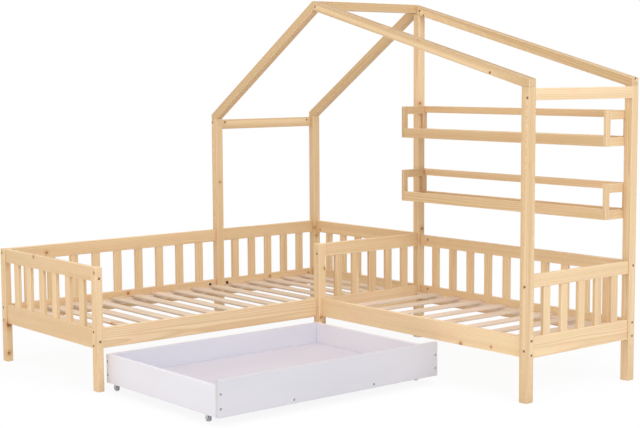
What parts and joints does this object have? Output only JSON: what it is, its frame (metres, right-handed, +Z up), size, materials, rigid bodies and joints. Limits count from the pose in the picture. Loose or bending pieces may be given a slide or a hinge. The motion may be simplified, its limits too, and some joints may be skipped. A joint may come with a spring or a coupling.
{
  "type": "house bed frame with drawer",
  "caption": "House-shaped pine bed frame: a long and a short bed joined in an L under a roof frame, with shelves and a rolling under-bed drawer.",
  "frame": {"origin": "centre of the footprint, on the floor", "axes": "+X along the short bed away from the long bed, -Y towards the long bed's foot end, +Z up"},
  "size_m": [2.405, 2.09, 1.84],
  "materials": {
    "timber": "planed and clear-lacquered pine with knots",
    "slats": "raw planed pine",
    "paint": "satin white paint",
    "steel": "zinc-plated pressed steel",
    "wheel": "moulded grey plastic"
  },
  "bodies": {
    "bed": {"post_foot_left": "timber", "post_foot_right": "timber", "post_inner_corner": "timber", "post_left_front": "timber", "post_left_rear": "timber", "post_right_front": "timber", "post_right_rear": "timber", "post_rear_ridge": "timber", "rafter_front_left": "timber", "rafter_front_right": "timber", "rafter_rear_left": "timber", "rafter_rear_right": "timber", "ridge_beam": "timber", "tie_beam_left": "timber", "tie_beam_right": "timber", "guard_foot_balusters": "timber", "guard_foot_top_rail": "timber", "guard_left_front_balusters": "timber", "guard_left_front_top_rail": "timber", "guard_left_rear_balusters": "timber", "guard_left_rear_top_rail": "timber", "guard_rear_left_balusters": "timber", "guard_rear_left_top_rail": "timber", "guard_rear_right_balusters": "timber", "guard_rear_right_top_rail": "timber", "guard_right_balusters": "timber", "guard_right_top_rail": "timber", "guard_divider_balusters": "timber", "guard_divider_top_rail": "timber", "front_rail_long_bed": "timber", "front_rail_short_bed": "timber", "slat_base_long_bed": "slats", "slat_base_short_bed": "slats", "shelf_lower_end_left": "timber", "shelf_lower_end_right": "timber", "shelf_lower_front_lip": "timber", "shelf_lower_rear_rail": "timber", "shelf_lower_top_rail": "timber", "shelf_lower_floor": "timber", "shelf_upper_end_left": "timber", "shelf_upper_end_right": "timber", "shelf_upper_front_lip": "timber", "shelf_upper_rear_rail": "timber", "shelf_upper_top_rail": "timber", "shelf_upper_floor": "timber"},
    "drawer": {"drawer_front": "paint", "drawer_side_rear": "paint", "drawer_side_foot": "paint", "drawer_back": "paint", "drawer_floor": "paint", "caster_fork_rear_inner": "steel", "caster_fork_foot_inner": "steel", "caster_fork_rear_outer": "steel", "caster_fork_foot_outer": "steel"},
    "wheel_rear_inner": {"caster_wheel_rear_inner": "wheel"},
    "wheel_foot_inner": {"caster_wheel_foot_inner": "wheel"},
    "wheel_rear_outer": {"caster_wheel_rear_outer": "wheel"},
    "wheel_foot_outer": {"caster_wheel_foot_outer": "wheel"}
  },
  "joints": [
    {"name": "drawer_slide", "type": "slide", "parent": "bed", "child": "drawer", "axis": [1, 0, 0], "range_m": [-0.89, 0.25]},
    {"name": "wheel_rear_inner_roll", "type": "hinge", "parent": "drawer", "child": "wheel_rear_inner", "pos_m": [-0.216, 0.246, 0.017], "axis": [0, 1, 0], "continuous": true},
    {"name": "wheel_foot_inner_roll", "type": "hinge", "parent": "drawer", "child": "wheel_foot_inner", "pos_m": [-0.216, -0.961, 0.017], "axis": [0, 1, 0], "continuous": true},
    {"name": "wheel_rear_outer_roll", "type": "hinge", "parent": "drawer", "child": "wheel_rear_outer", "pos_m": [0.5295, 0.246, 0.017], "axis": [0, 1, 0], "continuous": true},
    {"name": "wheel_foot_outer_roll", "type": "hinge", "parent": "drawer", "child": "wheel_foot_outer", "pos_m": [0.5295, -0.961, 0.017], "axis": [0, 1, 0], "continuous": true}
  ],
  "couplings": [
    {"joint": "wheel_rear_inner_roll", "follows": "drawer_slide", "rad_per_m": 58.824},
    {"joint": "wheel_foot_inner_roll", "follows": "drawer_slide", "rad_per_m": 58.824},
    {"joint": "wheel_rear_outer_roll", "follows": "drawer_slide", "rad_per_m": 58.824},
    {"joint": "wheel_foot_outer_roll", "follows": "drawer_slide", "rad_per_m": 58.824}
  ]
}
